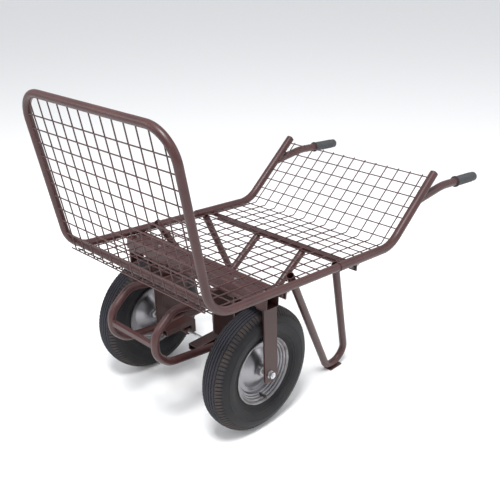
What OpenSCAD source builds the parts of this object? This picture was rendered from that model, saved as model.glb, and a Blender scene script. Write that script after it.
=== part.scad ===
// Two-wheeled firewood barrow: a bent tube tray frame lined with welded wire mesh, on a pair of
// pneumatic wheels, with two nose guards, two bent legs and two handles.
// +Y runs back towards the handles, X across, Z up; the ground is z = 0.

/* [Tray] */
// Distance between the centre lines of the two side rails
rail_gauge = 660; // [600:10:760]
// Length of a side rail between its front and rear bends
rail_length = 805; // [680:5:970]
// Fall of the rails towards the rear, in degrees
rail_fall = 4.9; // [4:0.1:6]
// Length of a front post, from the bottom corner to the top bar
front_post = 527; // [440:1:640]
// Forward lean of the front posts, in degrees
front_lean = 10; // [4:1:16]
// Length of a rear post
rear_post = 310; // [270:5:380]
// Angle of the rear posts above the level, in degrees
rear_rake = 39; // [34:1:50]

/* [Tubes] */
// Outside diameter of the front hoop tube and of the legs
hoop_tube = 25; // [22:1:28]
// Wall of the hoop, handle and leg tubes
tube_wall = 2; // [1.5:0.1:3]
// Wall of the rear side tubes, which sleeve over the ends of the hoop
sleeve_wall = 2; // [1.5:0.1:3]
// Distance from the front corner to the start of the sleeve
sleeve_start = 530; // [470:5:600]
// Length of the hoop tube that goes into the sleeve
sleeve_depth = 50; // [30:5:80]
// Outside diameter of a handle tube
handle_tube = 28.5; // [23:0.5:28.5]
// Bend radius of the front bottom corners
front_bend = 95; // [80:5:120]
// Bend radius of the top corners of the hoop
top_bend = 90; // [70:5:120]
// Bend radius of the rear corners
rear_bend = 110; // [90:5:140]

/* [Wire mesh] */
// Diameter of the mesh wires
wire = 4; // [3:0.5:5]
// Distance between the wires that run along the tray
long_pitch = 49; // [40:1:60]
// Distance between the cross wires of the front and rear panels
panel_pitch = 44; // [38:1:55]
// Distance between the cross wires of the floor
floor_pitch = 45; // [38:1:55]
// Inside bend radius of the mesh corners
mesh_bend = 5; // [4:1:16]

/* [Wheels] */
// Outside diameter of a tyre
wheel_diameter = 400; // [360:5:480]
// Width of a tyre
tyre_width = 98; // [84:1:104]
// Gap between the top of a tyre and the wheel cross member
tyre_clearance = 25; // [15:1:45]
// Distance between the middles of the two wheels
wheel_track = 512; // [500:2:530]
// Distance of the axle behind the front bottom corner
axle_setback = 233; // [215:1:260]
// Diameter of the axle rod
axle_d = 12; // [10:1:16]
// Length of a hub
hub_length = 62; // [56:1:66]

/* [Wheel brackets] */
// Width of a fork strut
strut_width = 54; // [44:1:60]
// Thickness of the struts and hanger plates
plate = 6; // [4:0.5:8]
// Distance from the middle of the barrow to the middle of an inner strut
inner_strut_x = 192; // [188:1:196]
// Distance from the middle of the barrow to the middle of an outer strut
outer_strut_x = 313; // [312:1:318]
// Width of a hanger plate at its top
hanger_width = 102; // [80:1:120]
// Height of the wheel cross member
wheel_member_h = 40; // [30:1:44]
// Width of the wheel cross member
wheel_member_w = 50; // [40:1:60]

/* [Nose guards] */
// Outside diameter of a guard tube
guard_tube = 25; // [21:1:27]
// Distance from the middle of the barrow to a guard tube's centre line
guard_x = 105; // [100:1:112]
// Size of the square bar that joins the guards
guard_bar = 15; // [12:1:20]
// Width of a saddle bar over the axle
saddle_width = 40; // [30:1:44]
// Depth of a saddle bar
saddle_depth = 20; // [16:1:24]

/* [Legs and handles] */
// Distance from the middle of the barrow to a foot
foot_x = 235; // [200:5:280]
// Bend radius of a leg at the foot
leg_bend = 48; // [40:1:50]
// Thickness of a foot pad
foot_pad = 4; // [3:0.5:6]
// Distance along the rear post from its bend to the handle
handle_rise = 193; // [160:1:220]
// Length of a handle tube behind the rear post
handle_reach = 350; // [300:5:450]
// Outside diameter of a grip
grip_d = 36; // [34:1:40]
// Length of a grip
grip_length = 128; // [100:1:150]

/* [Hidden] */
$fn = 48;

// clearances
weld_gap = 0.05;      // gap left between a welded end and the tube it meets
press = 0.4;          // how far crossing wires are pressed into each other when welded
bend_step = 0.05;     // how much thinner a tube is in its bends, in radius
sleeve_gap = 0.1;     // radial gap between the hoop tube and its sleeve
hole_gap = 0.3;       // radial gap of a bolt or the axle in a punched hole
running_gap = 0.05;   // radial gap of the axle in a hub bush
side_gap = 0.4;       // gap beside a turning hub

hoop_r = hoop_tube / 2;
rear_tube = hoop_tube + 2 * (sleeve_gap + sleeve_wall);
rear_r = rear_tube / 2;
rail_x = rail_gauge / 2;

// unit vectors in the side view, as [y, z]
rail_way = [cos(rail_fall), -sin(rail_fall)];
post_way = [-sin(front_lean), cos(front_lean)];
rear_way = [cos(rear_rake), sin(rear_rake)];

// the tray rides as high as its wheel cross member clears the tyres
wheel_r = wheel_diameter / 2;
corner_height = wheel_diameter + tyre_clearance
    + (hoop_r + wheel_member_h) / cos(rail_fall) + (axle_setback + 8) * tan(rail_fall);

// corners in the side view, measured from the front bottom corner
front_corner = [0, corner_height];
rear_corner = front_corner + rail_length * rail_way;
hoop_top = front_corner + front_post * post_way;
rear_top = rear_corner + rear_post * rear_way;

// the handle leaves the post, rises to a knee and drops a little to its tip
handle_root = rear_corner + handle_rise * rear_way;
handle_knee = handle_root + [148, 13];
handle_tip = handle_root + [handle_reach + 14, -9];
handle_bend = 300;
handle_way = (handle_tip - handle_knee) / norm(handle_tip - handle_knee);
grip_wall = 3;
grip_bore = handle_tube / 2;
grip_end = 4;         // rubber beyond the end of the handle tube

// the origin is under the middle of the barrow's length
front_reach = -hoop_top[0] + hoop_r;
rear_reach = handle_tip[0] + grip_end * handle_way[0];
middle_y = (rear_reach - front_reach) / 2;

// wheels and axle
axle_r = axle_d / 2;
axle_at = [axle_setback, wheel_r];
wheel_x = wheel_track / 2;
rim_radius = wheel_r - tyre_width + 8;
bead_r = rim_radius - 6;
cavity_r = tyre_width / 2 - 8;
section_r = wheel_r - tyre_width / 2;   // radius at which the tyre is widest
tread_half = 0.28 * tyre_width;
hub_d = 38;
bush_d = 26;
bush_length = 24;
disc_hole = hub_d / 2;
valve_r = rim_radius - 19;
valve_d = 8;

// wheel brackets
strut_foot = 28;      // how far a strut reaches below the axle
strut_flange = 30;    // how far a strut is folded in under the cross member
strut_bolt_x = [for (x = [inner_strut_x, outer_strut_x]) x + plate / 2 - strut_flange + 12];
strut_front = axle_setback + 5 - strut_width / 2;
member_top = hoop_r;  // depth of a cross member's top below the plane of the rails
member_wall = 2;
wheel_member_l = rail_gauge - 8;
wheel_member_s = axle_setback + 8;
tongue = 40;          // width of a hanger plate around the axle
hanger_shoulder = 84; // height of a hanger plate's shoulder above the axle
washer_t = 2.5;
nut_h = 10;
nut_af = 19;
spacer_d = 20;

// angle iron cross members and what bolts them to the rails
angle = 25;
angle_t = 3;
middle_member_s = wheel_member_s + wheel_member_w / 2 + angle + 2;
rear_member_s = 628;
tab_x = rail_x - 14;
tab_width = 26;
bolt_d = 8;
bolt_af = 13;
bolt_head = 5.5;
bolt_washer_t = 1.6;

guard_r = guard_tube / 2;
sleeve_d = axle_d + 10;
guard_rest = axle_at[1] + sleeve_d / 2 + guard_r;   // the lower arm lies on the axle's sleeve
guard_bend = 60;
saddle_front = 143;
saddle_rear = axle_setback + sleeve_d / 2 + 19;
saddle_leg = 18;
saddle_top = guard_rest + 15;
saddle_bottom = axle_at[1] - 12;
saddle_wall = 2;

leg_r = hoop_r;
foot_h = foot_pad + leg_r;
leg_front_foot = 597;
leg_rear_foot = 697;
leg_top_x = rail_x - hoop_r - leg_r - 0.3;
leg_lean = atan2(leg_top_x - foot_x, rail_z(331) - foot_h);
leg_front_top = [331, (rail_z(331) + 20 - foot_h) / cos(leg_lean)];
leg_rear_top = [549, (rail_z(549) - 5 - foot_h) / cos(leg_lean)];

hex_scale = 2 / sqrt(3);

// ---------------------------------------------------------------- helpers

function toward(a, b) = (b - a) / norm(b - a);
function heading(a, b) = atan2(b[1] - a[1], b[0] - a[0]);
function turn_at(a, b, c) =
    let (u = toward(a, b), v = toward(b, c))
    atan2(u[0] * v[1] - u[1] * v[0], u * v);
function setback(path, bend, i) =
    i <= 0 || i >= len(path) - 1
    ? 0
    : bend * tan(abs(turn_at(path[i - 1], path[i], path[i + 1])) / 2);
function on_rail(s) = front_corner + s * rail_way;
// how far the underside of a rail is below its axis
function rail_drop(s) = s > sleeve_start - 30 ? rear_r : hoop_r;
function rail_z(y) = corner_height - y * tan(rail_fall);
function member_under(y, depth) = rail_z(y) - (member_top + depth) / cos(rail_fall);

// the elbow at b reaches a little way into the straight pieces on both sides
module elbow(a, b, c, bend, d) {
    t = turn_at(a, b, c);
    side = t > 0 ? 1 : -1;
    over = 0.4 * sqrt(2 * bend * bend_step) / bend * 180 / PI;
    u = toward(a, b);
    start = b - u * bend * tan(abs(t) / 2);
    centre = start + side * bend * [-u[1], u[0]];
    first = heading(a, b) - side * 90;
    translate([centre[0], centre[1], 0])
        rotate([0, 0, (side > 0 ? first : first - abs(t)) - over])
            rotate_extrude(angle = abs(t) + 2 * over, $fn = 96)
                translate([bend, 0]) circle(d = d - 2 * bend_step);
}

// a solid round bar bent along a path in its own XY plane, its ends longer by over
module bent_bar(path, bend, d, over = 0) {
    for (i = [0:len(path) - 2]) {
        u = toward(path[i], path[i + 1]);
        first = i == 0 ? -over : setback(path, bend, i);
        last = i == len(path) - 2 ? -over : setback(path, bend, i + 1);
        from = path[i] + u * first;
        translate([from[0], from[1], 0])
            rotate([0, 0, heading(path[i], path[i + 1])])
                rotate([0, 90, 0])
                    cylinder(d = d, h = norm(path[i + 1] - path[i]) - first - last);
    }
    if (len(path) > 2)
        for (i = [1:len(path) - 2])
            elbow(path[i - 1], path[i], path[i + 1], bend, d);
}

module bent_tube(path, bend, d, wall) {
    difference() {
        bent_bar(path, bend, d);
        bent_bar(path, bend, d - 2 * wall, 1);
    }
}

// draws a side view, given as [y, z], in the upright plane at x
module side_view(x) {
    translate([x, 0, 0]) rotate([90, 0, 90]) children();
}

// the planes of the tray: x across, y up the post or back along the rail
module front_plane() {
    translate([0, front_corner[0], front_corner[1]]) rotate([90 + front_lean, 0, 0]) children();
}
module floor_plane() {
    translate([0, front_corner[0], front_corner[1]]) rotate([-rail_fall, 0, 0]) children();
}
module rear_plane() {
    translate([0, rear_corner[0], rear_corner[1]]) rotate([rear_rake, 0, 0]) children();
}

// a rod along X, at a place in the side view
module cross_rod(at, x0, x1, d) {
    translate([x0, at[0], at[1]]) rotate([0, 90, 0]) cylinder(d = d, h = x1 - x0);
}

module both_sides() {
    children();
    mirror([1, 0, 0]) children();
}

module hex_nut(af, h, bore) {
    difference() {
        cylinder(d = af * hex_scale, h = h, $fn = 6);
        translate([0, 0, -1]) cylinder(d = bore, h = h + 2);
    }
}

module washer(od, bore, t) {
    difference() {
        cylinder(d = od, h = t);
        translate([0, 0, -1]) cylinder(d = bore, h = t + 2);
    }
}

// bolt with its head's underside at z = 0 and its shank up +Z
module hex_bolt(length) {
    translate([0, 0, -bolt_head]) cylinder(d = bolt_af * hex_scale, h = bolt_head, $fn = 6);
    cylinder(d = bolt_d, h = length);
}

// ---------------------------------------------------------------- tray frame

module paint() {
    color([0.36, 0.24, 0.23]) children();
}

module hoop_bar(d, over) {
    half = front_post / 2;
    for (side = [-1, 1])
        side_view(side * rail_x)
            bent_bar(
                [on_rail(sleeve_start + sleeve_depth), front_corner, front_corner + half * post_way],
                front_bend, d, over
            );
    front_plane()
        bent_bar(
            [[-rail_x, half], [-rail_x, front_post], [rail_x, front_post], [rail_x, half]],
            top_bend, d - 2 * bend_step, 2
        );
}

module front_hoop() {
    paint()
        difference() {
            hoop_bar(hoop_tube, 0);
            hoop_bar(hoop_tube - 2 * tube_wall, 1);
        }
}

module rear_rail() {
    paint()
        side_view(rail_x)
            bent_tube([on_rail(sleeve_start), rear_corner, rear_top], rear_bend, rear_tube, sleeve_wall);
}

module post_cap() {
    bore = rear_r - sleeve_wall - sleeve_gap;
    color([0.1, 0.1, 0.1])
        translate([rail_x, rear_top[0], rear_top[1]])
            rotate([rear_rake - 90, 0, 0]) {
                translate([0, 0, -14]) cylinder(r = bore, h = 14);
                intersection() {
                    cylinder(r = rear_r, h = 6);
                    translate([0, 0, 6 - 1.3 * rear_r]) sphere(r = 1.3 * rear_r);
                }
            }
}

module handle() {
    paint()
        difference() {
            side_view(rail_x) bent_tube([handle_root, handle_knee, handle_tip], handle_bend, handle_tube, tube_wall);
            side_view(rail_x)
                bent_bar([rear_corner + rear_bend * rear_way, rear_top + 40 * rear_way], 0, rear_tube + 0.1);
        }
}

// the grip's outline from its flared front to its rounded end, as [radius, distance from the tube's end]
grip_r = grip_d / 2;
ring_pitch = 9;
ring_count = floor((grip_length - 34) / ring_pitch);
grip_outline = concat(
    [[grip_bore, -grip_length], [grip_r + 2, -grip_length], [grip_r + 2, -grip_length + 4],
     [grip_r, -grip_length + 6], [grip_r - 1, -grip_length + 6]],
    [for (i = [0:ring_count], step = [[-1, 0], [0, 1], [0, 5], [-1, 6]])
        [grip_r + step[0], -grip_length + 11 + i * ring_pitch + step[1]]],
    [for (a = [0:15:90]) [grip_r - 6 + 5 * cos(a), grip_end - 5 + 5 * sin(a)]],
    [[0, grip_end], [0, 0], [grip_bore, 0]]
);

module grip() {
    color([0.13, 0.13, 0.14])
        side_view(rail_x)
            translate([handle_tip[0], handle_tip[1], 0])
                rotate([0, 0, atan2(handle_way[1], handle_way[0])])
                    rotate([0, 90, 0])
                        rotate_extrude() polygon(grip_outline);
}

// ---------------------------------------------------------------- wire mesh

// long wires lie in the planes of the tubes, cross wires on the outside of them
long_count = floor((rail_gauge - hoop_tube - 30) / (2 * long_pitch));
cross_drop = wire - press;
long_bend = mesh_bend + wire;
corner_wire = 8;      // height of the lowest cross wire up the front panel
front_bend_dip = 6;   // how far that wire stops short of the posts
front_cut = front_corner + 1.1 * long_bend * tan(abs(turn_at(hoop_top, front_corner, rear_corner)) / 2) * rail_way;
rear_cut = rear_corner - 1.1 * long_bend * tan(abs(turn_at(front_corner, rear_corner, rear_top)) / 2) * rail_way;
rear_mesh_top = rear_post - 20;

// where a long wire meets the inside of the hoop, along the post
function hoop_reach(x) =
    let (over = abs(x) - (rail_x - top_bend), inner = top_bend - hoop_r)
    over > 0 ? front_post - top_bend + sqrt(inner * inner - over * over) : front_post - hoop_r;
// where a cross wire meets the inside of the hoop, across the panel
function hoop_half(t) =
    let (over = t - (front_post - top_bend), inner = top_bend - hoop_r)
    over > 0 ? rail_x - top_bend + sqrt(inner * inner - over * over) : rail_x - hoop_r;

module mesh_wires() {
    color([0.55, 0.45, 0.44]) children();
}

module cross_wire(half, at, drop) {
    translate([-half, at, drop]) rotate([0, 90, 0]) cylinder(d = wire, h = 2 * half);
}

module front_mesh() {
    top_row = front_post - 69;
    rows = floor((top_row - 50) / panel_pitch);
    mesh_wires() {
        for (k = [-long_count:long_count])
            side_view(k * long_pitch)
                bent_bar(
                    [
                        front_corner + (hoop_reach(abs(k * long_pitch) + wire / 2) - weld_gap) * post_way,
                        front_corner,
                        front_cut
                    ],
                    long_bend, wire
                );
        front_plane()
            for (i = [0:rows])
                cross_wire(
                    hoop_half(top_row - i * panel_pitch + wire / 2) - weld_gap,
                    top_row - i * panel_pitch,
                    cross_drop
                );
        front_plane() cross_wire(rail_x - hoop_r - front_bend_dip, corner_wire, cross_drop);
    }
}

module floor_mesh() {
    rows = floor((rail_length - 40) / floor_pitch);
    first = (rail_length - rows * floor_pitch) / 2;
    mesh_wires()
        difference() {
            union() {
                for (k = [-long_count:long_count])
                    side_view(k * long_pitch) bent_bar([front_cut, rear_cut], 0, wire);
                floor_plane()
                    for (i = [0:rows]) {
                        s = first + i * floor_pitch;
                        cross_wire(rail_x - weld_gap - (s > sleeve_start - wire ? rear_r : hoop_r), s, -cross_drop);
                    }
            }
            // cut out round the tops of the legs
            both_sides() leg_bar(hoop_tube + 3, 10);
        }
}

module rear_mesh() {
    rows = floor((rear_mesh_top - 26) / panel_pitch);
    mesh_wires() {
        for (k = [-long_count:long_count])
            side_view(k * long_pitch)
                bent_bar(
                    [rear_cut, rear_corner, rear_corner + (rear_mesh_top + wire) * rear_way],
                    long_bend, wire
                );
        rear_plane()
            for (i = [0:rows]) cross_wire(rail_x - rear_r - weld_gap, rear_mesh_top - i * panel_pitch, -cross_drop);
    }
}

// ---------------------------------------------------------------- cross members

module front_cross_bar() {
    bar = 20;
    half_turn = abs(turn_at(hoop_top, front_corner, rear_corner)) / 2;
    way = (post_way + rail_way) / norm(post_way + rail_way);
    at = front_corner + front_bend * (1 / cos(half_turn) - 1) * way;
    half = rail_x - hoop_r + 0.5;
    paint()
        difference() {
            cross_rod(at, -half, half, bar);
            cross_rod(at, -half - 1, half + 1, bar - 2 * tube_wall);
            both_sides()
                side_view(rail_x)
                    bent_bar([on_rail(sleeve_start), front_corner, hoop_top], front_bend, hoop_tube + 0.1);
        }
}

module wheel_cross_member() {
    paint()
        floor_plane()
            translate([0, wheel_member_s, -member_top - wheel_member_h / 2])
                difference() {
                    cube([wheel_member_l, wheel_member_w, wheel_member_h], center = true);
                    cube([wheel_member_l + 2, wheel_member_w - 2 * member_wall, wheel_member_h - 2 * member_wall],
                         center = true);
                    both_sides()
                        for (x = strut_bolt_x)
                            translate([x, 0, 0])
                                cylinder(r = bolt_d / 2 + hole_gap, h = wheel_member_h + 2, center = true);
                }
}

// an angle iron under the rails, its flat side up and its upright leg at the rear
module angle_member(s) {
    paint()
        floor_plane()
            translate([0, s, -rail_drop(s)])
                difference() {
                    union() {
                        translate([-rail_x, -angle, -angle_t]) cube([rail_gauge, angle, angle_t]);
                        translate([-rail_x, -angle_t, -angle]) cube([rail_gauge, angle_t, angle]);
                    }
                    both_sides()
                        translate([tab_x, 0, -angle / 2 - angle_t / 2])
                            rotate([90, 0, 0])
                                cylinder(r = bolt_d / 2 + hole_gap, h = 4 * angle_t, center = true);
                }
}

// lugs behind the angle irons, welded under the rails
module rail_tabs() {
    paint()
        both_sides()
            for (s = [middle_member_s, rear_member_s])
                floor_plane()
                    translate([tab_x - tab_width / 2, s, -rail_drop(s) - angle])
                        difference() {
                            cube([tab_width, angle_t, angle - 1]);
                            translate([tab_width / 2, 0, angle / 2 - angle_t / 2])
                                rotate([90, 0, 0])
                                    cylinder(r = bolt_d / 2 + hole_gap, h = 4 * angle_t, center = true);
                        }
}

// places children on the bolt lines of the angle irons, +Z pointing to the rear
module at_tab_bolts(y) {
    both_sides()
        for (s = [middle_member_s, rear_member_s])
            floor_plane()
                translate([tab_x, s + y, -rail_drop(s) - angle / 2 - angle_t / 2])
                    rotate([-90, 0, 0])
                        children();
}

module tab_bolts() {
    color("silver") at_tab_bolts(-angle_t) hex_bolt(30);
}

module tab_washers() {
    color("silver") at_tab_bolts(angle_t) washer(16, bolt_d + 2 * hole_gap, bolt_washer_t);
}

module tab_nuts() {
    color("silver") at_tab_bolts(angle_t + bolt_washer_t) hex_nut(bolt_af, 6.5, bolt_d);
}

// ---------------------------------------------------------------- wheel brackets

module strut(x) {
    fold_to = x + plate / 2 - strut_flange;
    low = axle_at[1] - strut_foot;
    rear = strut_front + strut_width;
    front_top = member_under(strut_front, wheel_member_h);
    rear_top_z = member_under(rear, wheel_member_h);
    x0 = fold_to;
    x1 = x + plate / 2;
    paint()
        difference() {
            union() {
                side_view(x - plate / 2)
                    linear_extrude(plate)
                        polygon([
                            [strut_front, low + 8], [strut_front + 8, low], [rear - 8, low], [rear, low + 8],
                            [rear, rear_top_z], [strut_front, front_top]
                        ]);
                side_view(x0)
                    linear_extrude(x1 - x0)
                        polygon([
                            [strut_front, front_top - plate], [rear, rear_top_z - plate],
                            [rear, rear_top_z], [strut_front, front_top]
                        ]);
            }
            cross_rod(axle_at, x0 - 1, x1 + 1, axle_d + 2 * hole_gap);
            floor_plane()
                translate([fold_to + 12, wheel_member_s, -member_top - wheel_member_h - plate / 2])
                    cylinder(r = bolt_d / 2 + hole_gap, h = 4 * plate, center = true);
        }
}

module outer_struts() {
    both_sides() strut(outer_strut_x);
}

module inner_struts() {
    both_sides() strut(inner_strut_x);
}

// places children on the bolts that hold the struts' folds up to the wheel cross member
module at_strut_bolts(w) {
    both_sides()
        for (x = strut_bolt_x)
            floor_plane() translate([x, wheel_member_s, w]) children();
}

module strut_bolts() {
    color("silver")
        at_strut_bolts(-member_top - wheel_member_h - plate) hex_bolt(wheel_member_h + plate + 6.8);
}

module strut_nuts() {
    color("silver") at_strut_bolts(-member_top) hex_nut(bolt_af, 6.5, bolt_d);
}

module hanger_plate() {
    front = axle_setback - 44;
    rear = front + hanger_width;
    shoulder = axle_at[1] + hanger_shoulder;
    slope = 20;
    x = guard_x + guard_r;
    paint()
        side_view(x)
            linear_extrude(plate)
                difference() {
                    union() {
                        polygon([
                            [front, member_under(front, wheel_member_h)],
                            [front, shoulder],
                            [axle_at[0] - tongue / 2, shoulder - slope],
                            [axle_at[0] - tongue / 2, axle_at[1]],
                            [axle_at[0] + tongue / 2, axle_at[1]],
                            [axle_at[0] + tongue / 2, shoulder - slope],
                            [rear, shoulder],
                            [rear, member_under(rear, wheel_member_h)]
                        ]);
                        translate(axle_at) circle(d = tongue);
                    }
                    translate(axle_at) circle(r = axle_r + hole_gap);
                }
}

// a square tube over the axle, open at its front and turned down behind the axle
module axle_saddle() {
    round_r = 8;
    inner_r = round_r - saddle_wall;
    top = saddle_top;
    low = saddle_top - saddle_depth;
    x1 = guard_x - guard_r;
    paint()
        difference() {
            side_view(x1 - saddle_width)
                linear_extrude(saddle_width)
                    polygon(concat(
                        [[saddle_front, low], [saddle_front, top]],
                        [for (a = [90:-15:0])
                            [saddle_rear - round_r + round_r * cos(a), top - round_r + round_r * sin(a)]],
                        [[saddle_rear, saddle_bottom], [saddle_rear - saddle_leg, saddle_bottom],
                         [saddle_rear - saddle_leg, low]]
                    ));
            side_view(x1 - saddle_width + saddle_wall)
                linear_extrude(saddle_width - 2 * saddle_wall)
                    polygon(concat(
                        [[saddle_front - 1, low + saddle_wall], [saddle_front - 1, top - saddle_wall]],
                        [for (a = [90:-15:0])
                            [saddle_rear - round_r + inner_r * cos(a), top - round_r + inner_r * sin(a)]],
                        [[saddle_rear - saddle_wall, saddle_bottom - 1],
                         [saddle_rear - saddle_leg + saddle_wall, saddle_bottom - 1],
                         [saddle_rear - saddle_leg + saddle_wall, low + saddle_wall]]
                    ));
        }
}

// ---------------------------------------------------------------- nose guards

guard_path = [
    [270, guard_rest + 146.5], [54, guard_rest + 192.5], [-23, guard_rest + 134.5], [-23, guard_rest + 68.5],
    [23, guard_rest + 26.5], [205, guard_rest], [350, guard_rest],
    [rear_member_s + 20, member_under(rear_member_s, 0) - 6]
];

module guard() {
    paint()
        difference() {
            side_view(guard_x) bent_tube(guard_path, guard_bend, guard_tube, tube_wall);
            // trimmed where it meets the inside of the rear angle iron
            floor_plane()
                translate([0, rear_member_s - angle_t, -rear_r - 200]) cube([200, 200, 300]);
            floor_plane()
                translate([0, rear_member_s - 90, -rear_r - angle_t]) cube([200, 200, 100]);
        }
}

module guard_cross_bar() {
    half = guard_x - guard_r;
    paint()
        translate([0, -23, guard_rest + 101.5]) cube([2 * half, guard_bar, guard_bar], center = true);
}

// ---------------------------------------------------------------- axle

strut_outside = outer_strut_x + plate / 2;
hub_inside = wheel_x - hub_length / 2;
hub_outside = wheel_x + hub_length / 2;

module axle() {
    half = strut_outside + washer_t + nut_h + 3;
    color("silver") cross_rod(axle_at, -half, half, axle_d);
}

module axle_tube(x0, x1, d) {
    difference() {
        cross_rod(axle_at, x0, x1, d);
        cross_rod(axle_at, x0 - 1, x1 + 1, axle_d + 2 * hole_gap);
    }
}

// tubes round the axle under the guards and saddles
module axle_sleeves() {
    paint() both_sides() axle_tube(guard_x - guard_r - saddle_width, guard_x + guard_r, sleeve_d);
}

module axle_spacers() {
    color("silver")
        both_sides() {
            axle_tube(inner_strut_x + plate / 2, hub_inside - side_gap, spacer_d);
            axle_tube(hub_outside + side_gap, outer_strut_x - plate / 2, spacer_d);
        }
}

module at_axle_end(x) {
    both_sides() translate([x, axle_at[0], axle_at[1]]) rotate([0, 90, 0]) children();
}

module axle_washers() {
    color("silver") at_axle_end(strut_outside) washer(24, axle_d + 2 * hole_gap, washer_t);
}

module axle_nuts() {
    color("silver") at_axle_end(strut_outside + washer_t) hex_nut(nut_af, nut_h, axle_d);
}

// ---------------------------------------------------------------- legs

module leg_bar(d, over) {
    translate([foot_x, 0, foot_h])
        rotate([0, leg_lean, 0])
            side_view(0)
                bent_bar(
                    [leg_front_top, [leg_front_foot, 0], [leg_rear_foot, 0], leg_rear_top],
                    leg_bend, d, over
                );
}

module leg() {
    paint()
        difference() {
            leg_bar(hoop_tube, 0);
            leg_bar(hoop_tube - 2 * tube_wall, 1);
        }
}

module foot_pads() {
    paint()
        both_sides()
            translate([foot_x - 16, leg_front_foot + 8, 0]) cube([32, 58, foot_pad]);
}

// ---------------------------------------------------------------- wheels

// turns a profile of [radius, distance outwards] about the axle at the wheel's middle
module about_axle() {
    translate([wheel_x, axle_at[0], axle_at[1]])
        rotate([0, 90, 0])
            rotate_extrude($fn = 120) children();
}

module tyre() {
    crown = 74;
    groove = 4;
    color([0.12, 0.12, 0.12])
        about_axle()
            difference() {
                union() {
                    translate([section_r, 0]) circle(d = tyre_width);
                    intersection() {
                        translate([wheel_r - 30, -tread_half]) square([30, 2 * tread_half]);
                        translate([wheel_r - crown, 0]) circle(r = crown);
                    }
                    for (side = [-1, 1])
                        translate([bead_r, side * 26.5 - 4.5]) square([14, 9]);
                }
                translate([section_r, 0]) circle(r = cavity_r);
                translate([bead_r - 20, -22]) square([40, 44]);
                for (a = [-14.2, 0, 14.2])
                    translate([wheel_r - 6, a - groove / 2]) square([10, groove]);
            }
}

module inner_tube() {
    color([0.2, 0.2, 0.2])
        about_axle()
            translate([section_r, 0])
                difference() {
                    circle(r = cavity_r - 0.4);
                    circle(r = cavity_r - 2);
                }
}

// the outer half of the rim: a rolled flange, three steps, a flat ring and a domed disc
rr = rim_radius;
dome_r = rr - 48;
dome_h = 19;
rim_t = 2;
function dome(r) = 4 + dome_h * cos(90 * (r - disc_hole) / (dome_r - disc_hole));
rim_seen = concat(
    [[rr, 31.5], [rr - 1, 35], [rr - 5, 35.5], [rr - 8, 32], [rr - 8.5, 27.5], [rr - 11, 25.6],
     [rr - 14, 25.2], [rr - 15.4, 20.4], [rr - 17, 19.4], [rr - 20, 19], [rr - 21.4, 14.2],
     [rr - 23, 13.2], [rr - 26, 12.8], [rr - 27.6, 7], [rr - 30, 3], [rr - 32, rim_t], [rr - 44, rim_t]],
    [for (i = [0:8]) let (r = dome_r + i / 8 * (disc_hole - dome_r)) [r, dome(r)]]
);
rim_hidden = concat(
    [for (i = [8:-1:1]) let (r = dome_r + i / 8 * (disc_hole - dome_r)) [r - (i == 8 ? 0 : 0.6), dome(r) - rim_t]],
    [[dome_r - 0.6, 1.8], [rr - 46, 0], [rr - 31, 0], [rr - 28.4, 1.4], [rr - 25.8, 6.4], [rr - 24.6, 10.8],
     [rr - 21.8, 11.4], [rr - 19.8, 12.8], [rr - 18.6, 17], [rr - 15.8, 17.6], [rr - 13.8, 19],
     [rr - 12.6, 23.2], [rr - 9.8, 23.8], [rr - 6.4, 26], [rr - 6, 31], [rr - 4.4, 33.4], [rr - 2.6, 33],
     [rr - 2, 31.5]]
);

module rim_half() {
    color([0.7, 0.7, 0.72]) about_axle() polygon(concat(rim_seen, rim_hidden));
}

module valve_hole(d) {
    translate([wheel_x, axle_at[0], axle_at[1] - valve_r]) rotate([0, 90, 0]) cylinder(d = d, h = 60);
}

module rim_outer() {
    difference() {
        rim_half();
        valve_hole(valve_d + 1);
    }
}

module rim_inner() {
    translate([2 * wheel_x, 0, 0]) mirror([1, 0, 0]) rim_half();
}

module hub() {
    color([0.6, 0.6, 0.62])
        difference() {
            cross_rod(axle_at, hub_inside, hub_outside, hub_d);
            cross_rod(axle_at, hub_inside - 1, hub_outside + 1, bush_d);
        }
}

module hub_bushes() {
    color([0.85, 0.85, 0.8])
        for (x = [hub_inside, hub_outside - bush_length])
            difference() {
                cross_rod(axle_at, x, x + bush_length, bush_d);
                cross_rod(axle_at, x - 1, x + bush_length + 1, axle_d + 2 * running_gap);
            }
}

// the stem leaves the inner tube, bends and comes out through the rim's outer half
module valve() {
    color([0.1, 0.1, 0.1])
        translate([wheel_x, axle_at[0], axle_at[1]])
            rotate([90, 0, 0])
                bent_bar([[4, -section_r + cavity_r - 0.2], [4, -valve_r], [34, -valve_r]], 6, valve_d);
}

module valve_cap() {
    color([0.15, 0.15, 0.15])
        translate([wheel_x + 34, axle_at[0], axle_at[1] - valve_r])
            rotate([0, 90, 0])
                union() {
                    cylinder(d = valve_d + 2, h = 4);
                    cylinder(d = valve_d, h = 8);
                }
}

// ---------------------------------------------------------------- the barrow

module placed() {
    translate([0, -middle_y, 0]) children();
}
module left() {
    placed() children();
}
module right() {
    placed() mirror([1, 0, 0]) children();
}

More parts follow.
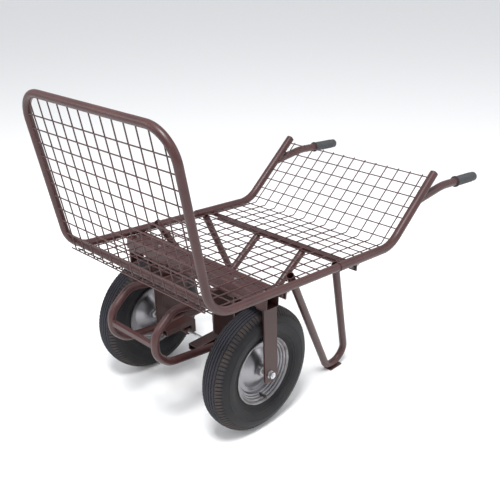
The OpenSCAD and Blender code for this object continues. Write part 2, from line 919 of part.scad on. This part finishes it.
placed() front_hoop();
left() rear_rail();  // rear_rail_left
right() rear_rail();  // rear_rail_right
placed() both_sides() post_cap();  // post_caps
left() handle();  // handle_left
right() handle();  // handle_right
left() grip();  // grip_left
right() grip();  // grip_right
placed() front_mesh();
placed() floor_mesh();
placed() rear_mesh();
placed() front_cross_bar();
placed() wheel_cross_member();
placed() angle_member(middle_member_s);  // middle_cross_member
placed() angle_member(rear_member_s);  // rear_cross_member
placed() rail_tabs();
placed() tab_bolts();
placed() tab_washers();
placed() tab_nuts();
placed() outer_struts();
placed() inner_struts();
placed() strut_bolts();
placed() strut_nuts();
left() hanger_plate();  // hanger_plate_left
right() hanger_plate();  // hanger_plate_right
left() axle_saddle();  // axle_saddle_left
right() axle_saddle();  // axle_saddle_right
left() guard();  // guard_left
right() guard();  // guard_right
placed() guard_cross_bar();
placed() axle();
placed() axle_sleeves();
placed() axle_spacers();
placed() axle_washers();
placed() axle_nuts();
left() leg();  // leg_left
right() leg();  // leg_right
placed() foot_pads();
left() tyre();  // tyre_left
right() tyre();  // tyre_right
left() inner_tube();  // inner_tube_left
right() inner_tube();  // inner_tube_right
left() rim_outer();  // rim_outer_left
right() rim_outer();  // rim_outer_right
left() rim_inner();  // rim_inner_left
right() rim_inner();  // rim_inner_right
left() hub();  // hub_left
right() hub();  // hub_right
left() hub_bushes();  // hub_bushes_left
right() hub_bushes();  // hub_bushes_right
left() valve();  // valve_left
right() valve();  // valve_right
left() valve_cap();  // valve_cap_left
right() valve_cap();  // valve_cap_right
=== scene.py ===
"""Shows a firewood barrow on a pale floor.

Powder-coated tube and wire, zinc-plated fasteners, silver rims and treaded tyres.
"""

import math

import bpy
from bpy.props import FloatProperty, FloatVectorProperty, IntProperty, PointerProperty
from mathutils import Matrix, Vector, noise


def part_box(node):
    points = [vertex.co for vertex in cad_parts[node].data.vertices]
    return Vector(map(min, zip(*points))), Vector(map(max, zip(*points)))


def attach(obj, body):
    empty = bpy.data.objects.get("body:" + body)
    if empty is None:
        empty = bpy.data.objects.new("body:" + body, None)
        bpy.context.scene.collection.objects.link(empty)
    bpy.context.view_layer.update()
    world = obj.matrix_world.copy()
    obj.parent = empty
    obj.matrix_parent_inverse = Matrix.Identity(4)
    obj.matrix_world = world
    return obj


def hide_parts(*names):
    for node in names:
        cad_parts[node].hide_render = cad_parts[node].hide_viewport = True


bl_info = {
    "name": "Firewood Barrow",
    "version": (1, 0, 0),
    "blender": (4, 5, 0),
    "location": "View3D > Sidebar > Barrow",
    "description": "Gives the barrow's frame its finishes, tyres, welds, fasteners and stage",
    "category": "Object",
}

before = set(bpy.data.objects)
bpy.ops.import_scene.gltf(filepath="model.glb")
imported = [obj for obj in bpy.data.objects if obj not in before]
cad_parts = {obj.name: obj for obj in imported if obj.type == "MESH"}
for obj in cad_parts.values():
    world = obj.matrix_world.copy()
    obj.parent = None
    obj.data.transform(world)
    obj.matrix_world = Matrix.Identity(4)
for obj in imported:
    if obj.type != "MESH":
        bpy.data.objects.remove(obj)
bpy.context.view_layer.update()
MM = 0.001
SIDES = ("left", "right")

AXLE_NUT_ACROSS = 19 * MM
AXLE_NUT_HEIGHT = 10 * MM
THREAD_PITCH = 1.5 * MM
THREAD_DEPTH = 0.7 * MM
BEAD_SIDES = 8
TREAD_CROWN = 74 * MM
TYRE_WALL = 8 * MM
RIM_SEAT = 41 * MM
FLOOR_HALF = 30.0

# Where the camera stands, in metres, and how it is turned, in degrees
CAMERA_AT = (1.6101, -1.7237, 1.465)
CAMERA_TURN, CAMERA_TILT, CAMERA_ROLL = 45.37, 24.61, -1.5
CAMERA_LENS = 53.77

# Name, place, size and power of each studio light
LIGHTS = (
    ("key_light", (1.2, -1.6, 4.2), 1.4, 200),
    ("fill_light", (3.2, 2.6, 2.2), 2.4, 30),
    ("front_light", (-2.6, -3.4, 2.6), 2.4, 40),
)

# Across one half of the tread: millimetres from the middle, whether it is in a groove, and sway
TREAD_STEPS = (
    (3.4, 0, 0.8),
    (3.9, 1, 0.8),
    (6.1, 1, 0.8),
    (6.6, 0, 0.8),
    (12.5, 0, 1.2),
    (13.0, 1, 1.2),
    (15.4, 1, 1.2),
    (15.9, 0, 1.2),
    (22.0, 0, 0.8),
    (22.5, 1, 0.8),
    (24.4, 1, 0.8),
    (24.9, 0, 0.8),
)
# Down the shoulder: degrees above the tyre's widest place, and how much of the block cut reaches it
SHOULDER_STEPS = ((56, 1.0), (50, 1.0), (43, 0.9), (37, 0.6), (33, 0.0), (27, 0.0), (21, 0.0))
# Down the sidewall: degrees from the widest place, and millimetres that a moulded ring stands proud
SIDEWALL_STEPS = (
    (16, 0),
    (11, 0),
    (9, 0),
    (8, 0.9),
    (6, 0.9),
    (5, 0),
    (0, 0),
    (-6, 0),
    (-12, 0),
    (-18, 0),
    (-23, 0),
    (-24, 0.7),
    (-25.5, 0.7),
    (-26.5, 0),
    (-31, 0),
    (-32, 1.2),
    (-36, 1.2),
    (-37, 0),
    (-42, 0),
    (-47, 0),
)
# Round the edge in the rim: millimetres from the middle, and millimetres above the rim's seat
BEAD_STEPS = ((32.6, 2.2), (31.0, 0.9), (30.8, -5.6), (22.4, -5.6), (22.4, 4.5))
# Degrees along the inside of the tyre's wall
LINING_STEPS = (-40, -10, 25, 60)
# Parts of one block's turn: how far round, and whether the cut between blocks is there
BLOCK_STEPS = ((0.0, 0), (0.03, 1), (0.24, 1), (0.27, 0), (0.5, 0), (0.76, 0), (0.97, 0))


# ------------------------------------------------------------------ settings


def colour(name, description, value):
    return FloatVectorProperty(
        name=name,
        description=description,
        subtype="COLOR",
        size=4,
        min=0,
        max=1,
        default=(*value, 1),
    )


def length(name, description, value):
    return FloatProperty(
        name=name, description=description, default=value, min=0, unit="LENGTH"
    )


class BarrowColours(bpy.types.PropertyGroup):
    paint: colour(
        "Paint", "Powder coat of the tubes and cross members", (0.04, 0.0115, 0.0115)
    )
    paint_worn: colour(
        "Worn paint", "Powder coat where it is rubbed and dusty", (0.085, 0.034, 0.032)
    )
    plate: colour("Plate paint", "Powder coat of the brackets and struts", (0.036, 0.013, 0.01))
    wire: colour("Wire paint", "Powder coat of the mesh wires", (0.05, 0.019, 0.018))
    zinc: colour("Zinc", "Plating of the axle, bolts, nuts and washers", (0.62, 0.63, 0.65))
    rim: colour("Rim", "Silver paint of the rims", (0.27, 0.265, 0.28))
    rubber: colour("Rubber", "Rubber of the tyres", (0.006, 0.006, 0.008))
    dust: colour("Dust", "Dry soil on the tread", (0.085, 0.062, 0.043))
    grip: colour("Grip", "Rubber of the grips", (0.03, 0.03, 0.034))
    floor: colour("Floor", "Pale floor", (0.95, 0.95, 0.95))


class BarrowSizes(bpy.types.PropertyGroup):
    tread_depth: length("Tread depth", "Depth of the tread's grooves", 0.004)
    tread_blocks: IntProperty(
        name="Tread blocks",
        description="Blocks around one row of the tread",
        default=96,
        min=20,
        max=140,
    )
    weld_radius: length("Weld radius", "Radius of a weld bead", 0.0026)
    weld_ripple: length("Weld ripple", "Distance between the ripples of a weld bead", 0.0026)


# ------------------------------------------------------------------ shader building


class Value:
    """A shader socket that takes part in Python sums; each sum adds a Math node."""

    def __init__(self, graph, socket):
        self.graph = graph
        self.socket = socket

    def maths(self, operation, *values, clamp=False):
        return self.graph.add(
            "ShaderNodeMath", {"operation": operation, "use_clamp": clamp}, values
        )

    def __add__(self, other):
        return self.maths("ADD", self, other)

    __radd__ = __add__

    def __sub__(self, other):
        return self.maths("SUBTRACT", self, other)

    def __rsub__(self, other):
        return self.maths("SUBTRACT", other, self)

    def __mul__(self, other):
        return self.maths("MULTIPLY", self, other)

    __rmul__ = __mul__

    def __truediv__(self, other):
        return self.maths("DIVIDE", self, other)

    def __pow__(self, other):
        return self.maths("POWER", self, other)

    def clamped(self):
        return self.maths("ADD", self, 0.0, clamp=True)

    def between(self, low, high):
        """0 below low, 1 above high, and a straight rise between them."""
        return self.maths("MULTIPLY", self - low, 1 / (high - low), clamp=True)


class Graph:
    """The node tree of one material."""

    def __init__(self, name):
        self.material = bpy.data.materials.new(name)
        self.material.use_nodes = True
        self.tree = self.material.node_tree
        self.tree.nodes.clear()
        self.place = self.add("ShaderNodeTexCoord", output="Object")

    def add(self, kind, settings=None, inputs=(), output=0):
        """Adds one node: its settings first, then the values or links of its sockets."""
        node = self.tree.nodes.new(kind)
        for key, value in (settings or {}).items():
            setattr(node, key, value)
        for key, value in inputs.items() if isinstance(inputs, dict) else enumerate(inputs):
            if isinstance(value, Value):
                self.tree.links.new(value.socket, node.inputs[key])
            else:
                node.inputs[key].default_value = value
        return Value(self, node.outputs[output]) if node.outputs else None

    def noise(self, scale, detail=2.0, rough=0.5, place=None):
        return self.add(
            "ShaderNodeTexNoise",
            None,
            {"Vector": place or self.place, "Scale": scale, "Detail": detail, "Roughness": rough},
        )

    def mix(self, factor, low, high):
        return self.add(
            "ShaderNodeMix", {"data_type": "RGBA"}, {0: factor, 6: low, 7: high}, output=2
        )

    def axis(self, vector, name):
        return self.add("ShaderNodeSeparateXYZ", None, [vector], output=name)

    def upward(self):
        """How far the surface faces up, from -1 to 1."""
        return self.axis(self.add("ShaderNodeNewGeometry", output="Normal"), "Z")

    def wheel_radius(self):
        """Distance from the axle, in metres."""
        centre = wheel_centre("left")
        y = self.axis(self.place, "Y") - centre.y
        z = self.axis(self.place, "Z") - centre.z
        return (y * y + z * z) ** 0.5

    def bump(self, height, strength, distance, under=None):
        inputs = {"Strength": strength, "Distance": distance, "Height": height}
        if under:
            inputs["Normal"] = under
        return self.add("ShaderNodeBump", None, inputs)

    def surface(self, **sockets):
        shader = self.add(
            "ShaderNodeBsdfPrincipled",
            None,
            {key.replace("_", " "): value for key, value in sockets.items()},
        )
        self.add("ShaderNodeOutputMaterial", None, [shader])
        return self.material


def powder_coat(name, base, worn, gloss=0.36):
    """Satin powder coat: fine orange peel, cloudy tone, dust on top and small rubbed chips."""
    g = Graph(name)
    cloud = g.noise(11, 4, 0.6)
    fine = g.noise(95, 3, 0.6)
    chips = g.noise(310, 2, 0.5).between(0.69, 0.73) * g.noise(24, 1).between(0.5, 0.62)
    dust = g.upward().between(0.1, 1.0) * fine.between(0.35, 0.75) * 0.2
    tone = g.mix((cloud.between(0.3, 0.75) * 0.55 + dust).clamped(), base, worn)
    tone = g.mix(chips * 0.6, tone, (0.2, 0.14, 0.12, 1))
    peel = g.noise(520, 2, 0.45)
    return g.surface(
        Base_Color=tone,
        Roughness=gloss + cloud * 0.12 + chips * 0.3 + dust * 0.5,
        Normal=g.bump(peel - chips * 0.8, 0.16, 0.0004),
        Specular_IOR_Level=0.4,
        Coat_Weight=0.12,
        Coat_Roughness=0.15,
    )


def zinc_plate(name, tone):
    """Bright zinc with a faint grain and dull patches."""
    g = Graph(name)
    patch = g.noise(60, 4, 0.65)
    grain = g.noise(900, 2)
    dull = patch.between(0.42, 0.7)
    return g.surface(
        Base_Color=g.mix(dull * 0.6, tone, (0.36, 0.35, 0.33, 1)),
        Metallic=1.0,
        Roughness=0.24 + dull * 0.22 + grain * 0.06,
        Normal=g.bump(grain + patch, 0.1, 0.0003),
    )


def silver_paint(name, tone, dust):
    """Silver paint on pressed sheet, with dry dirt gathered in the outer steps."""
    g = Graph(name)
    radius = g.wheel_radius()
    cloud = g.noise(28, 4, 0.6)
    specks = g.noise(420, 3, 0.6).between(0.62, 0.7)
    dirt = radius.between(0.075, 0.11) * cloud.between(0.38, 0.7) * 0.75 + specks * 0.3
    return g.surface(
        Base_Color=g.mix(dirt.clamped(), tone, dust),
        Metallic=0.95 - dirt.clamped() * 0.5,
        Roughness=0.26 + cloud * 0.14 + dirt.clamped() * 0.35,
        Normal=g.bump(g.noise(650, 2) + specks, 0.12, 0.0004),
    )


def tyre_rubber(name, tone, dust):
    """Black rubber, greyer on the tread, with soil in its low places."""
    g = Graph(name)
    radius = g.wheel_radius()
    cloud = g.noise(17, 5, 0.65)
    fine = g.noise(160, 4, 0.65)
    grit = g.noise(1100, 2)
    tread = radius.between(0.178, 0.186)
    low = tread * (1 - radius.between(0.1945, 0.1975))
    patches = 0.35 + 0.65 * cloud.between(0.35, 0.6)
    soil = (low * patches * (0.4 + 0.6 * fine.between(0.35, 0.6))).clamped()
    worn = g.mix(tread * (0.3 + fine * 0.5), tone, (0.035, 0.035, 0.046, 1))
    film = (1 - tread) * cloud.between(0.4, 0.8) * 0.08
    return g.surface(
        Base_Color=g.mix((soil * 0.5 + film).clamped(), worn, dust),
        Roughness=0.5 + tread * 0.2 + fine * 0.12,
        Specular_IOR_Level=0.28,
        Normal=g.bump(grit * 0.6 + fine, 0.3, 0.0006),
    )


def moulded(name, tone, rough, grain):
    """Moulded rubber or plastic with a fine grain and scuffs."""
    g = Graph(name)
    cloud = g.noise(30, 4, 0.6)
    fine = g.noise(grain, 3, 0.6)
    scuff = g.noise(75, 5, 0.7).between(0.58, 0.72)
    paler = tuple(min(1, c * 2.2 + 0.02) for c in tone[:3]) + (1,)
    return g.surface(
        Base_Color=g.mix((scuff * 0.4 + cloud * 0.25).clamped(), tone, paler),
        Roughness=rough + cloud * 0.1 + scuff * 0.15,
        Normal=g.bump(fine, 0.25, 0.0004),
    )


def stage_floor(name, tone):
    g = Graph(name)
    cloud = g.noise(3, 3)
    return g.surface(
        Base_Color=g.mix(cloud * 0.05, tone, (0.8, 0.8, 0.8, 1)),
        Roughness=0.75 + cloud * 0.1,
        Normal=g.bump(g.noise(600, 2), 0.03, 0.0005),
    )


# ------------------------------------------------------------------ shared makers


def settings():
    scene = bpy.context.scene
    return scene.barrow_colours, scene.barrow_sizes


def dress(nodes, material):
    """Gives carried-over nodes a material."""
    for node in nodes:
        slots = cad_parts[node].material_slots
        for slot in slots:
            slot.material = material


def mesh_piece(name, points, faces, body, material, sharp=35):
    mesh = bpy.data.meshes.new(name)
    mesh.from_pydata([tuple(p) for p in points], [], faces)
    mesh.validate()
    mesh.update()
    mesh.shade_smooth()
    mesh.set_sharp_from_angle(angle=math.radians(sharp))
    piece = bpy.data.objects.new(name, mesh)
    bpy.context.scene.collection.objects.link(piece)
    mesh.materials.append(material)
    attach(piece, body)
    return piece


def middle(node):
    low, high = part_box(node)
    return (low + high) / 2


def wheel_centre(side):
    return middle("tyre_" + side)


class Shape:
    """Collects the points and faces of one piece."""

    def __init__(self):
        self.points = []
        self.faces = []

    def loops(self, rings, closed_ends=True, wrap=False):
        """Skins rings of equal length; wrap joins the last ring to the first."""
        start = len(self.points)
        count = len(rings[0])
        for ring in rings:
            self.points.extend(ring)
        last = len(rings) if wrap else len(rings) - 1
        for i in range(last):
            a = start + i * count
            b = start + (i + 1) % len(rings) * count
            for j in range(count):
                k = (j + 1) % count
                self.faces.append((a + j, a + k, b + k, b + j))
        if closed_ends and not wrap:
            self.faces.append(tuple(start + j for j in reversed(range(count))))
            self.faces.append(tuple(start + (len(rings) - 1) * count + j for j in range(count)))


def weld_bead(shape, path, radius, ripple, closed=False):
    """Lays a rippled bead along a path of points."""
    samples = []
    ends = path + [path[0]] if closed else path
    for a, b in zip(ends, ends[1:], strict=False):
        steps = max(1, round((b - a).length / (ripple / 3)))
        samples += [a.lerp(b, i / steps) for i in range(steps)]
    if not closed:
        samples.append(path[-1])
    count = len(samples)
    rings = []
    travelled = 0.0
    for i, at in enumerate(samples):
        before = samples[i - 1] if i or closed else at
        after = samples[(i + 1) % count] if i < count - 1 or closed else at
        travelled += (at - before).length
        way = (after - before).normalized()
        upright = abs(way.z) > 0.9
        side = (way.orthogonal() if upright else way.cross(Vector((0, 0, 1)))).normalized()
        up = side.cross(way)
        swell = 1 + 0.2 * math.sin(2 * math.pi * travelled / ripple) + 0.25 * noise.noise(at * 260)
        if not closed:
            swell *= min(1, 0.35 + min(i, count - 1 - i) * 0.3)
        rings.append(
            [
                at + (side * math.cos(t) + up * math.sin(t)) * radius * swell
                for t in (2 * math.pi * k / BEAD_SIDES for k in range(BEAD_SIDES))
            ]
        )
    shape.loops(rings, wrap=closed)


def ring_path(centre, axis, radius, steps=40):
    """Points of a circle round an axis."""
    side = axis.orthogonal().normalized()
    up = axis.normalized().cross(side)
    return [
        centre + (side * math.cos(t) + up * math.sin(t)) * radius
        for t in (2 * math.pi * k / steps for k in range(steps))
    ]


def hex_nut(shape, base, axis, across, height, hole):
    """A hexagon with turned corners and a hole, from base along axis."""
    axis = axis.normalized()
    side = axis.orthogonal().normalized()
    up = axis.cross(side)
    count = 48
    inner = across / 2 * 0.97

    def ring(height_at, radius_at):
        return [
            base
            + axis * height_at(t)
            + (side * math.cos(t) + up * math.sin(t)) * radius_at(t)
            for t in (2 * math.pi * k / count for k in range(count))
        ]

    def flat(t):
        return across / 2 / math.cos((t % (math.pi / 3)) - math.pi / 6)

    def chamfer(t):
        return (flat(t) - inner) * 0.55

    edge = 0.8 * MM
    rings = [
        ring(lambda t: 0, lambda t: inner),
        ring(chamfer, flat),
        ring(lambda t: height - chamfer(t), flat),
        ring(lambda t: height, lambda t: inner),
        ring(lambda t: height, lambda t: hole * 1.12),
        ring(lambda t: height - edge, lambda t: hole),
        ring(lambda t: edge, lambda t: hole),
        ring(lambda t: 0, lambda t: hole * 1.12),
    ]
    shape.loops(rings, wrap=True)


def thread(shape, base, axis, radius, reach):
    """A threaded end: ridges round a rod, with a chamfered tip."""
    axis = axis.normalized()
    side = axis.orthogonal().normalized()
    up = axis.cross(side)
    steps = max(4, round(reach / (THREAD_PITCH / 4)))
    count = 32
    rings = []
    for i in range(steps + 1):
        along = reach * i / steps
        ring = []
        for k in range(count):
            t = 2 * math.pi * k / count
            ridge = abs(((along / THREAD_PITCH + k / count) % 1) - 0.5) * 2
            tip = max(0.0, along - (reach - 1.2 * MM))
            size = radius - THREAD_DEPTH * (1 - ridge) - tip * 0.8
            ring.append(base + axis * along + (side * math.cos(t) + up * math.sin(t)) * size)
        rings.append(ring)
    shape.loops(rings)


# ------------------------------------------------------------------ operators

PAINTED = [
    "front_hoop",
    "rear_rail_left",
    "rear_rail_right",
    "handle_left",
    "handle_right",
    "front_cross_bar",
    "wheel_cross_member",
    "middle_cross_member",
    "rear_cross_member",
    "rail_tabs",
]
PLATES = [
    "outer_struts",
    "inner_struts",
    "hanger_plate_left",
    "hanger_plate_right",
    "axle_saddle_left",
    "axle_saddle_right",
    "axle_sleeves",
]
GUARDS_AND_LEGS = [
    "guard_left",
    "guard_right",
    "guard_cross_bar",
    "leg_left",
    "leg_right",
    "foot_pads",
]
PLATED = [
    "axle",
    "axle_spacers",
    "axle_washers",
    "tab_washers",
    "tab_bolts",
    "tab_nuts",
    "strut_bolts",
    "strut_nuts",
]


class BARROW_OT_tray(bpy.types.Operator):
    """Paint the tray's tubes and cross members"""

    bl_idname = "barrow.tray"
    bl_label = "Tray Frame"

    def execute(self, context):
        colours, _ = settings()
        dress(PAINTED, powder_coat("brown_powder_coat", colours.paint, colours.paint_worn))
        dress(["post_caps"], moulded("black_cap_plastic", (0.012, 0.012, 0.013, 1), 0.42, 800))
        return {"FINISHED"}


class BARROW_OT_mesh(bpy.types.Operator):
    """Paint the welded wire of the front, floor and rear"""

    bl_idname = "barrow.mesh"
    bl_label = "Wire Mesh"

    def execute(self, context):
        colours, _ = settings()
        coat = powder_coat("wire_powder_coat", colours.wire, colours.paint_worn, 0.4)
        dress(["front_mesh", "floor_mesh", "rear_mesh"], coat)
        return {"FINISHED"}


class BARROW_OT_brackets(bpy.types.Operator):
    """Paint the struts, plates, saddles, guards and legs"""

    bl_idname = "barrow.brackets"
    bl_label = "Brackets, Guards and Legs"

    def execute(self, context):
        colours, _ = settings()
        dress(PLATES, powder_coat("plate_powder_coat", colours.plate, colours.paint, 0.42))
        coat = bpy.data.materials["brown_powder_coat"]
        dress(GUARDS_AND_LEGS, coat)
        return {"FINISHED"}


class BARROW_OT_fasteners(bpy.types.Operator):
    """Make the axle nuts, and plate the axle, bolts and nuts"""

    bl_idname = "barrow.fasteners"
    bl_label = "Axle and Fasteners"

    def execute(self, context):
        colours, _ = settings()
        zinc = zinc_plate("zinc_plate", colours.zinc)
        dress(PLATED, zinc)
        low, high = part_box("axle_nuts")
        axle_low, axle_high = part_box("axle")
        centre = (low + high) / 2
        rod = (axle_high.z - axle_low.z) / 2
        nuts = Shape()
        ends = Shape()
        for way in (-1, 1):
            out = Vector((way, 0, 0))
            seat = Vector((way * (high.x - AXLE_NUT_HEIGHT), centre.y, centre.z))
            hex_nut(nuts, seat, out, AXLE_NUT_ACROSS, AXLE_NUT_HEIGHT, rod * 0.99)
            start = seat + out * (AXLE_NUT_HEIGHT - 2 * MM)
            thread(ends, start, out, rod * 0.985, axle_high.x - high.x + 2.6 * MM)
        pair = mesh_piece("axle_nut_pair", nuts.points, nuts.faces, "frame", zinc, 25)
        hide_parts("axle_nuts")
        mesh_piece("axle_thread_ends", ends.points, ends.faces, "frame", zinc, 60)
        return {"FINISHED"}


class BARROW_OT_grips(bpy.types.Operator):
    """Give the grips their moulded rubber"""

    bl_idname = "barrow.grips"
    bl_label = "Grips"

    def execute(self, context):
        colours, _ = settings()
        dress(["grip_left", "grip_right"], moulded("grip_rubber", tuple(colours.grip), 0.5, 900))
        return {"FINISHED"}


class BARROW_OT_rims(bpy.types.Operator):
    """Paint the rims and hubs, and give the valves and bushes their plastics"""

    bl_idname = "barrow.rims"
    bl_label = "Rims"

    def execute(self, context):
        colours, _ = settings()
        silver = silver_paint("rim_silver_paint", colours.rim, colours.dust)
        black = moulded("valve_rubber", (0.015, 0.015, 0.016, 1), 0.5, 900)
        nylon = moulded("bush_nylon", (0.55, 0.54, 0.5, 1), 0.45, 900)
        for side in SIDES:
            dress([f"rim_outer_{side}", f"rim_inner_{side}", f"hub_{side}"], silver)
            dress([f"valve_{side}", f"valve_cap_{side}", f"inner_tube_{side}"], black)
            dress([f"hub_bushes_{side}"], nylon)
        return {"FINISHED"}


class BARROW_OT_tyres(bpy.types.Operator):
    """Make both tyres with a blocked tread and ringed sidewalls"""

    bl_idname = "barrow.tyres"
    bl_label = "Tyres"

    def columns(self, radius, half, depth):
        """The outline of one half, from the middle outwards.

        Each entry is offset, radius, sway of the tread, cut, and inward cut.
        """
        section = radius - half
        outline = []
        for offset, groove, sway in TREAD_STEPS:
            at = offset * MM
            top = radius - TREAD_CROWN + math.sqrt(TREAD_CROWN**2 - at**2)
            outline.append((at, top - groove * depth, sway * MM, 0.0, 0.0))
        for degrees, cut in SHOULDER_STEPS:
            t = math.radians(degrees)
            swell = half + 1.2 * MM * (degrees - 21) / 35
            reach = section + swell * math.sin(t)
            outline.append((swell * math.cos(t), reach, 0.0, cut * depth * 0.8, cut * depth * 0.5))
        for degrees, proud in SIDEWALL_STEPS:
            t = math.radians(degrees)
            swell = half + proud * MM
            reach = section + swell * math.sin(t)
            outline.append((swell * math.cos(t) * 0.995, reach, 0.0, 0.0, 0.0))
        for offset, rise in BEAD_STEPS:
            outline.append((offset * MM, section - RIM_SEAT + rise * MM, 0.0, 0.0, 0.0))
        inner = half - TYRE_WALL
        for degrees in LINING_STEPS:
            t = math.radians(degrees)
            outline.append((inner * math.cos(t), section + inner * math.sin(t), 0.0, 0.0, 0.0))
        return outline

    def execute(self, context):
        colours, sizes = settings()
        rubber = tyre_rubber("tyre_rubber", colours.rubber, colours.dust)
        low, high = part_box("tyre_left")
        radius = (high.z - low.z) / 2 + 0.1 * MM
        half = (high.x - low.x) / 2
        outline = self.columns(radius, half, sizes.tread_depth)
        closed = [(-a, r, s, c, i) for a, r, s, c, i in reversed(outline)] + outline
        for side in SIDES:
            centre = wheel_centre(side)
            shape = Shape()
            rings = []
            for block in range(sizes.tread_blocks):
                for fraction, groove in BLOCK_STEPS:
                    turn = 2 * math.pi * (block + fraction) / sizes.tread_blocks
                    sway_now = 1 - 4 * abs(fraction - 0.5)
                    ring = []
                    for offset, reach, sway, cut, inward in closed:
                        across = offset + sway * sway_now
                        if groove:
                            reach -= cut
                            across -= math.copysign(inward, offset)
                        spoke = Vector((0, -math.sin(turn), math.cos(turn))) * reach
                        ring.append(centre + Vector((across, spoke.y, spoke.z)))
                    rings.append(ring)
            shape.loops(rings, wrap=True)
            tyre = mesh_piece(
                "treaded_tyre_" + side,
                shape.points,
                shape.faces,
                "wheel_" + side,
                rubber,
                28,
            )
            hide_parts("tyre_" + side)
        return {"FINISHED"}


class BARROW_OT_welds(bpy.types.Operator):
    """Lay the weld beads of the frame"""

    bl_idname = "barrow.welds"
    bl_label = "Weld Beads"

    def execute(self, context):
        _, sizes = settings()
        shape = Shape()
        radius, ripple = sizes.weld_radius, sizes.weld_ripple

        def bead(path, closed=False):
            weld_bead(shape, path, radius, ripple, closed)

        low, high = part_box("front_cross_bar")
        centre = (low + high) / 2
        for way in (-1, 1):
            at = Vector((way * (high.x - 3 * MM), centre.y, centre.z))
            bead(ring_path(at, Vector((1, 0, 0)), (high.z - low.z) / 2), True)
        for side in SIDES:
            low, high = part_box("hanger_plate_" + side)
            for x in (low.x, high.x):
                front = Vector((x, low.y + 3 * MM, high.z - 2 * MM))
                bead([front, Vector((x, high.y - 3 * MM, high.z - 10 * MM))])
            low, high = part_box("axle_saddle_" + side)
            x = high.x if side == "left" else low.x
            z = high.z - 1 * MM
            bead([Vector((x, low.y + 4 * MM, z)), Vector((x, high.y - 12 * MM, z))])
        low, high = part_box("guard_cross_bar")
        for way in (-1, 1):
            x = way * high.x
            for z in (low.z, high.z):
                bead([Vector((x, low.y, z)), Vector((x, high.y, z))])
        mesh_piece(
            "weld_beads",
            shape.points,
            shape.faces,
            "frame",
            bpy.data.materials["brown_powder_coat"],
            60,
        )
        return {"FINISHED"}


class BARROW_OT_stage(bpy.types.Operator):
    """Set out the floor, the lights and the camera"""

    bl_idname = "barrow.stage"
    bl_label = "Stage"

    def execute(self, context):
        colours, _ = settings()
        scene = context.scene
        half = FLOOR_HALF
        mesh = bpy.data.meshes.new("floor")
        mesh.from_pydata(
            [(-half, -half, 0), (half, -half, 0), (half, half, 0), (-half, half, 0)],
            [],
            [(0, 1, 2, 3)],
        )
        mesh.materials.append(stage_floor("pale_floor", colours.floor))
        floor = bpy.data.objects.new("floor", mesh)
        scene.collection.objects.link(floor)

        world = bpy.data.worlds.new("soft_sky")
        world.use_nodes = True
        sky = world.node_tree.nodes["Background"]
        sky.inputs["Color"].default_value = (0.95, 0.97, 1.0, 1)
        sky.inputs["Strength"].default_value = 0.75
        scene.world = world
        scene.view_settings.view_transform = "Standard"

        target = Vector((0, 0, 0.5))
        for name, at, size, power in LIGHTS:
            light = bpy.data.lights.new(name, "AREA")
            light.shape = "DISK"
            light.size = size
            light.energy = power
            lamp = bpy.data.objects.new(name, light)
            lamp.location = at
            lamp.rotation_euler = (target - Vector(at)).to_track_quat("-Z", "Y").to_euler()
            scene.collection.objects.link(lamp)

        camera = bpy.data.objects.new("camera", bpy.data.cameras.new("camera"))
        camera.data.lens = CAMERA_LENS
        camera.data.sensor_width = 36
        camera.data.clip_end = 100
        turn, tilt, roll = (
            math.radians(angle) for angle in (CAMERA_TURN, CAMERA_TILT, CAMERA_ROLL)
        )
        back = Vector(
            (math.sin(turn) * math.cos(tilt), -math.cos(turn) * math.cos(tilt), math.sin(tilt))
        )
        right = (-back).cross(Vector((0, 0, 1))).normalized()
        up = right.cross(-back)
        across = right * math.cos(roll) + up * math.sin(roll)
        above = up * math.cos(roll) - right * math.sin(roll)
        matrix = Matrix((across, above, back)).transposed().to_4x4()
        matrix.translation = Vector(CAMERA_AT)
        camera.matrix_world = matrix
        scene.collection.objects.link(camera)
        scene.camera = camera
        return {"FINISHED"}


STEPS = (
    BARROW_OT_tray,
    BARROW_OT_mesh,
    BARROW_OT_brackets,
    BARROW_OT_fasteners,
    BARROW_OT_grips,
    BARROW_OT_rims,
    BARROW_OT_tyres,
    BARROW_OT_welds,
    BARROW_OT_stage,
)


class BARROW_PT_panel(bpy.types.Panel):
    """Lists the barrow's sizes, colours and makers"""

    bl_label = "Firewood Barrow"
    bl_idname = "BARROW_PT_panel"
    bl_space_type = "VIEW_3D"
    bl_region_type = "UI"
    bl_category = "Barrow"

    def draw(self, context):
        for group in settings():
            for name in group.__annotations__:
                self.layout.prop(group, name)
        for step in STEPS:
            self.layout.operator(step.bl_idname)


CLASSES = (BarrowColours, BarrowSizes, *STEPS, BARROW_PT_panel)


def register():
    for item in CLASSES:
        bpy.utils.register_class(item)
    bpy.types.Scene.barrow_colours = PointerProperty(type=BarrowColours)
    bpy.types.Scene.barrow_sizes = PointerProperty(type=BarrowSizes)


def unregister():
    del bpy.types.Scene.barrow_sizes
    del bpy.types.Scene.barrow_colours
    for item in reversed(CLASSES):
        bpy.utils.unregister_class(item)


def main():
    register()
    bpy.ops.barrow.tray()
    bpy.ops.barrow.mesh()
    bpy.ops.barrow.brackets()
    bpy.ops.barrow.fasteners()
    bpy.ops.barrow.grips()
    bpy.ops.barrow.rims()
    bpy.ops.barrow.tyres()
    bpy.ops.barrow.welds()
    bpy.ops.barrow.stage()


if __name__ == "__main__":
    main()
